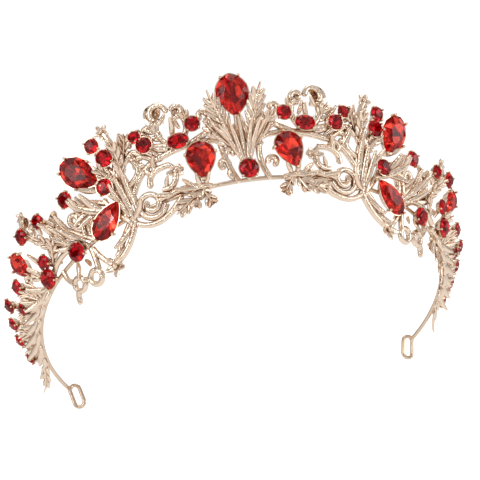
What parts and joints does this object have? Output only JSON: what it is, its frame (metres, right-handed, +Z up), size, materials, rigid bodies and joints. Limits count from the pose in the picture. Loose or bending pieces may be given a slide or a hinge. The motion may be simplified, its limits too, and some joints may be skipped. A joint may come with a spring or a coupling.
{
  "type": "tiara",
  "caption": "Open tiara: a thin gold head band with cast leaf sprays, claw-set red glass crystals and a wire eye at each end, worn over the crown of the head.",
  "frame": {"origin": "centre of the half ellipse that the head band follows, level with the band's two arms at their widest, as the tiara sits on a head", "axes": "+X to the wearer's left as seen from the front, -Y towards the front, +Z up; the band's plane is tilted 45 degrees about X, front up and ends down"},
  "size_m": [0.163, 0.0696, 0.1058],
  "materials": {
    "band_gold": "polished pale champagne gold plating on drawn wire",
    "leaf_gold": "bright pale champagne gold plating on cast leaves and scrolls",
    "setting_gold": "polished pale gold plating on stamped cups and claws",
    "large_ruby_glass": "faceted foil-backed ruby red glass",
    "small_ruby_glass": "faceted foil-backed deep red glass"
  },
  "bodies": {
    "tiara": {"arm_crystal_left": "large_ruby_glass", "arm_crystal_right": "large_ruby_glass", "arm_crystal_setting_left": "setting_gold", "arm_crystal_setting_right": "setting_gold", "arm_spray_cups_left": "setting_gold", "arm_spray_cups_right": "setting_gold", "arm_spray_left": "leaf_gold", "arm_spray_right": "leaf_gold", "arm_spray_stones_left": "small_ruby_glass", "arm_spray_stones_right": "small_ruby_glass", "band_scroll_left": "leaf_gold", "band_scroll_right": "leaf_gold", "bead_rings_left": "leaf_gold", "bead_rings_right": "leaf_gold", "centre_crystal": "large_ruby_glass", "centre_crystal_setting": "setting_gold", "centre_round_cup": "setting_gold", "centre_round_stone": "small_ruby_glass", "centre_stem": "leaf_gold", "crest_branch_cups_left": "setting_gold", "crest_branch_cups_right": "setting_gold", "crest_branch_left": "leaf_gold", "crest_branch_right": "leaf_gold", "crest_branch_stones_left": "small_ruby_glass", "crest_branch_stones_right": "small_ruby_glass", "crest_leaf_left": "leaf_gold", "crest_leaf_right": "leaf_gold", "end_eye_left": "band_gold", "end_eye_right": "band_gold", "hanging_flower_left": "leaf_gold", "hanging_flower_right": "leaf_gold", "hanging_leaf_left": "leaf_gold", "hanging_leaf_right": "leaf_gold", "head_band": "band_gold", "lower_teardrop_left": "large_ruby_glass", "lower_teardrop_right": "large_ruby_glass", "lower_teardrop_setting_left": "setting_gold", "lower_teardrop_setting_right": "setting_gold", "main_spray_cups_left": "setting_gold", "main_spray_cups_right": "setting_gold", "main_spray_left": "leaf_gold", "main_spray_right": "leaf_gold", "main_spray_stones_left": "small_ruby_glass", "main_spray_stones_right": "small_ruby_glass", "side_acanthus_left": "leaf_gold", "side_acanthus_right": "leaf_gold", "side_crystal_left": "large_ruby_glass", "side_crystal_right": "large_ruby_glass", "side_crystal_setting_left": "setting_gold", "side_crystal_setting_right": "setting_gold", "temple_spray_cups_left": "setting_gold", "temple_spray_cups_right": "setting_gold", "temple_spray_left": "leaf_gold", "temple_spray_right": "leaf_gold", "temple_spray_stones_left": "small_ruby_glass", "temple_spray_stones_right": "small_ruby_glass", "upper_teardrop_left": "large_ruby_glass", "upper_teardrop_right": "large_ruby_glass", "upper_teardrop_setting_left": "setting_gold", "upper_teardrop_setting_right": "setting_gold"}
  },
  "joints": []
}
